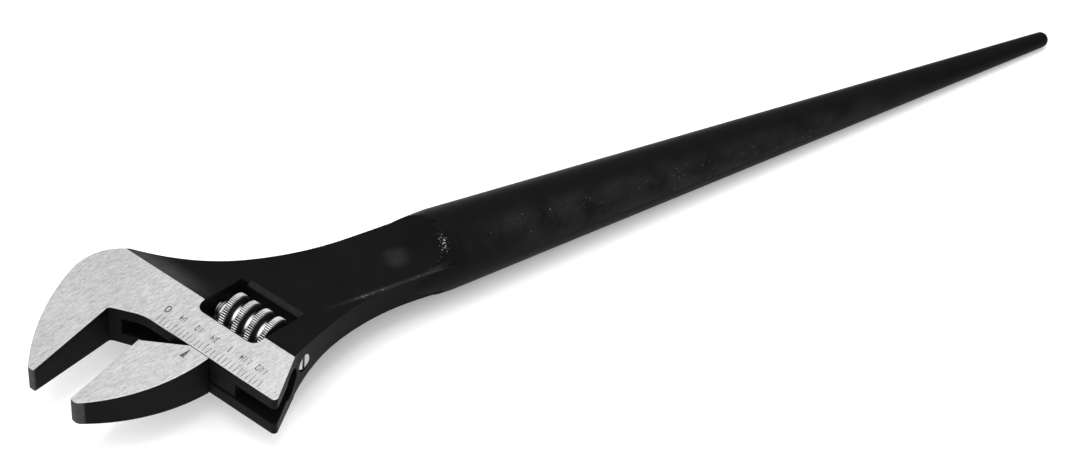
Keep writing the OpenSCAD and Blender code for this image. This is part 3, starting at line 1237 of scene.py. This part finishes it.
@dataclass(frozen=True)
class WormPin:
    """The pin that the worm turns on, screwed in from the side of the head."""

    shank_r: float = 2.3
    head_r: float = 3.0
    start_u: float = 0.3
    head_from: float = 30.7
    end_u: float = 40.7
    drive_depth: float = 1.2
    drive_width: float = 0.9

    def build(self, steel: bpy.types.Material) -> bpy.types.Object:
        """Builds and dresses the pin.

        Args:
            steel: Its finish.

        Returns:
            The finished piece.
        """
        stations = [(self.start_u, self.shank_r), (self.head_from, self.shank_r),
                    (self.head_from + 0.01, self.head_r), (self.end_u - 0.3, self.head_r),
                    (self.end_u, self.head_r - 0.3)]
        pin = Bench.lathe("worm_pin_detail", stations, 64)
        Bench.settle(pin, Matrix.Translation((0, THREAD.depth * MM, 0)))
        floor, past = self.end_u - self.drive_depth, self.end_u + 2.0
        near, far = THREAD.depth - self.drive_width / 2, THREAD.depth + self.drive_width / 2
        drive = [(floor, near), (past, near), (past, far), (floor, far)]
        Bench.combine(pin, Bench.slab("drive_cutter", drive, -5.0, 5.0), How.CUT)
        Bench.tidy(pin)
        Bench.soften(pin, 0.08)
        Bench.dress(pin, steel)
        Bench.settle(pin, HEAD.matrix())
        return Bench.finish(pin, Rides.BODY, "pin_steel", "worm_pin")


@dataclass(frozen=True)
class WormSpring:
    """The small spring round the pin that takes up the worm's end play."""

    wire_r: float = 0.42
    coil_r: float = 2.92
    turns: float = 2.5
    start_u: float = 6.47
    end_u: float = 8.53

    def build(self, steel: bpy.types.Material) -> bpy.types.Object:
        """Builds and dresses the spring.

        Args:
            steel: Its finish.

        Returns:
            The finished piece.
        """
        wire = Arc(0.0, self.coil_r, self.wire_r).points(0.0, 330.0, 0.22)
        pitch = (self.end_u - self.start_u) / self.turns
        coil = Thread(lead=pitch, crest_u=self.start_u)
        spring = coil.sweep("worm_spring_detail", wire, self.turns, 48, 0.0)
        Bench.close(spring)
        Bench.smooth(spring, 40.0)
        Bench.dress(spring, steel)
        Bench.settle(spring, HEAD.matrix())
        return Bench.finish(spring, Rides.BODY, "spring_steel", "worm_spring")


# ---------------------------------------------------------------- the scale


@dataclass(frozen=True)
class JawScale:
    """The inch scale on the upper ground face, and the pointer on the sliding jaw.

    labels gives each label with its share of label_size, and fraction_width is how far the
    fractions are narrowed.
    """

    division: float = 25.4 / 16
    divisions: int = 26
    tick_start: float = 0.45
    long_tick: float = 3.5
    short_tick: float = 2.95
    tick_width: float = 0.24
    proud: float = 0.012
    label_w: float = 6.5
    label_size: float = 4.5
    fraction_width: float = 0.62
    labels: tuple[tuple[str, float], ...] = (
        ("0", 0.92), ("1/4", 0.74), ("1/2", 0.74), ("3/4", 0.74), ("1", 0.78), ("1 1/4", 0.74),
        ("1 1/2", 0.74))

    def lean(self) -> Matrix:
        """The matrix that lays a flat drawing of (u, w) on the upper ground face."""
        tilt = Matrix.Rotation(math.atan(THICKNESS.taper), 4, "X")
        return Matrix.Translation((0, 0, THICKNESS.half_at_slideway * MM)) @ tilt

    def ticks(self) -> bpy.types.Object:
        """All the divisions as one thin piece."""
        made = []
        for k in range(self.divisions + 1):
            length = self.long_tick if k % 4 == 0 else self.short_tick
            u, half = k * self.division, self.tick_width / 2
            w0, w1 = self.tick_start, self.tick_start + length
            tick = [(u - half, w0), (u + half, w0), (u + half * 0.7, w1), (u - half * 0.7, w1)]
            made.append(Bench.slab(f"tick_{k}", tick, -0.02, self.proud))
        return self.gather(made, "scale_ticks")

    def numerals(self) -> bpy.types.Object:
        """The labels of the long divisions, read from the open end, as one thin piece."""
        made = []
        for k, (text, share) in enumerate(self.labels):
            Bench.deselect()
            bpy.ops.object.text_add()
            label = bpy.context.object
            label.data.body = text
            label.data.align_x, label.data.align_y = "CENTER", "CENTER"
            narrow = 1.0 if len(text) == 1 else self.fraction_width
            label.data.size = self.label_size * MM * share
            label.data.offset = 0.03 * MM
            label.data.extrude = self.proud * MM
            label.data.resolution_u = 4
            bpy.ops.object.convert(target="MESH")
            label = bpy.context.object
            turn = Matrix.Rotation(math.pi, 4, "Z") @ Matrix.Diagonal((narrow, 1.0, 1.0, 1.0))
            at = Matrix.Translation((k * 4 * self.division * MM, self.label_w * MM, 0))
            made.append(Bench.settle(label, at @ turn))
        return self.gather(made, "scale_numerals")

    def pointer(self) -> bpy.types.Object:
        """The pointer's narrow triangle, beside the slideway on the sliding jaw."""
        u = SlidingJaw().opening
        outline = [(u + 0.45, -5.0), (u - 1.2, -5.0), (u - 0.1, -0.95)]
        return Bench.slab("jaw_pointer", outline, -0.02, self.proud)

    @staticmethod
    def gather(parts: Sequence[bpy.types.Object], name: str) -> bpy.types.Object:
        """Joins several objects into one and names it."""
        Bench.deselect()
        for part in parts:
            part.select_set(True)
        bpy.context.view_layer.objects.active = parts[0]
        bpy.ops.object.join()
        parts[0].name = name
        return parts[0]

    def build(self, fill: bpy.types.Material) -> list[bpy.types.Object]:
        """Builds and dresses the marks.

        Args:
            fill: Finish of the marks.

        Returns:
            The ticks, the numerals and the pointer.
        """
        made = []
        for piece, rides, slot in ((self.ticks(), Rides.BODY, "black_forging"),
                                   (self.numerals(), Rides.BODY, "black_forging"),
                                   (self.pointer(), Rides.JAW, "ground_jaw")):
            Bench.dress(piece, fill)
            Bench.settle(piece, HEAD.matrix() @ self.lean())
            made.append(Bench.finish(piece, rides, slot))
        return made


# ---------------------------------------------------------------- studio


@dataclass(frozen=True)
class Studio:
    """White floor, soft light and the camera."""

    lens: float = 70.87
    camera_mm: tuple[float, float, float] = (-150.27, -427.07, 490.75)
    camera_deg: tuple[float, float, float] = (46.022, -5.811, -31.392)
    floor_tilt: float = 2.38
    floor_at: tuple[float, float, float] = (124.2, 0.0, -14.05)
    floor_glow: float = 0.2

    def camera(self) -> None:
        """Places the camera."""
        data = bpy.data.cameras.new("camera")
        data.lens, data.sensor_width = self.lens, 36.0
        data.clip_start, data.clip_end = 0.01, 20.0
        camera = bpy.data.objects.new("camera", data)
        camera.location = Vector(self.camera_mm) * MM
        camera.rotation_euler = [math.radians(a) for a in self.camera_deg]
        bpy.context.collection.objects.link(camera)
        bpy.context.scene.camera = camera

    def floor(self) -> None:
        """Lays a white floor along the underside of the handle's taper."""
        Bench.deselect()
        bpy.ops.mesh.primitive_plane_add(size=8.0)
        floor = bpy.context.object
        floor.name = "studio_floor"
        floor.location = Vector(self.floor_at) * MM
        floor.rotation_euler = (0.0, math.radians(-self.floor_tilt), 0.0)
        Bench.settle(floor)
        f = Finish("studio_white")
        f.set(Base_Color=(0.93, 0.93, 0.93, 1.0), Roughness=0.9, Specular_IOR_Level=0.1,
              Emission_Color=(1.0, 1.0, 1.0, 1.0), Emission_Strength=self.floor_glow)
        floor.data.materials.append(f.material)

    def softbox(self, name: str, at: Sequence[float], size: Sequence[float], power: float) -> None:
        """Hangs a soft light that points at the head and handle.

        Args:
            name: Its name.
            at: Its place in metres.
            size: Its width and height in metres.
            power: Its strength in watts.
        """
        data = bpy.data.lights.new(name, "AREA")
        data.shape, data.size, data.size_y, data.energy = "RECTANGLE", size[0], size[1], power
        lamp = bpy.data.objects.new(name, data)
        lamp.location = at
        aim = Vector((0.12, -0.01, 0.0)) - Vector(at)
        lamp.rotation_euler = aim.to_track_quat("-Z", "Y").to_euler()
        bpy.context.collection.objects.link(lamp)

    def world(self, low: float, high: float) -> None:
        """Fills the surroundings with soft white, dim at the horizon and bright overhead.

        It is a little brighter behind the wrench and on its head's side than opposite them.

        Args:
            low: Strength at the horizon and below.
            high: Strength overhead.
        """
        world = bpy.data.worlds.new("studio")
        bpy.context.scene.world = world
        world.use_nodes = True
        tree = world.node_tree
        place = tree.nodes.new("ShaderNodeTexCoord")
        parts = tree.nodes.new("ShaderNodeSeparateXYZ")
        tree.links.new(place.outputs["Generated"], parts.inputs["Vector"])
        x, y, z = (Wire(tree, parts.outputs[axis]) for axis in "XYZ")
        lift = (z * 0.9 + y * 0.1 - x * 0.2).fade(-0.3, 0.8)
        tree.links.new((lift * (high - low) + low).socket, tree.nodes["Background"].inputs["Strength"])
        tree.nodes["Background"].inputs["Color"].default_value = (1.0, 1.0, 1.0, 1.0)

    def build(self) -> None:
        """Sets up the camera, the floor and the lights."""
        self.camera()
        self.floor()
        self.softbox("overhead", (0.05, 0.12, 1.5), (1.5, 0.7), 9.0)
        self.softbox("left", (-1.3, -0.3, 0.5), (0.6, 0.6), 5.0)
        self.world(0.2, 1.15)
        settings = bpy.context.scene.view_settings
        settings.view_transform, settings.look = "Standard", "None"


def main() -> None:
    """Builds the studio and every piece, in order."""
    logging.basicConfig(level=logging.INFO, format="%(name)s: %(message)s")
    Studio().build()
    black, ground = BlackOxide().build(), GroundSteel().build()
    Forging().build(black, ground)
    SlidingJaw().build(black, ground)
    Worm().build(BrightSteel(knurls=Worm.knurls, name="knurled_steel").build())
    WormPin().build(BrightSteel(tone=0.55, roughness=0.3, name="pin_steel").build())
    WormSpring().build(BrightSteel(tone=0.4, roughness=0.35, name="spring_steel").build())
    JawScale().build(EngravedFill().build())


if __name__ == "__main__":
    main()
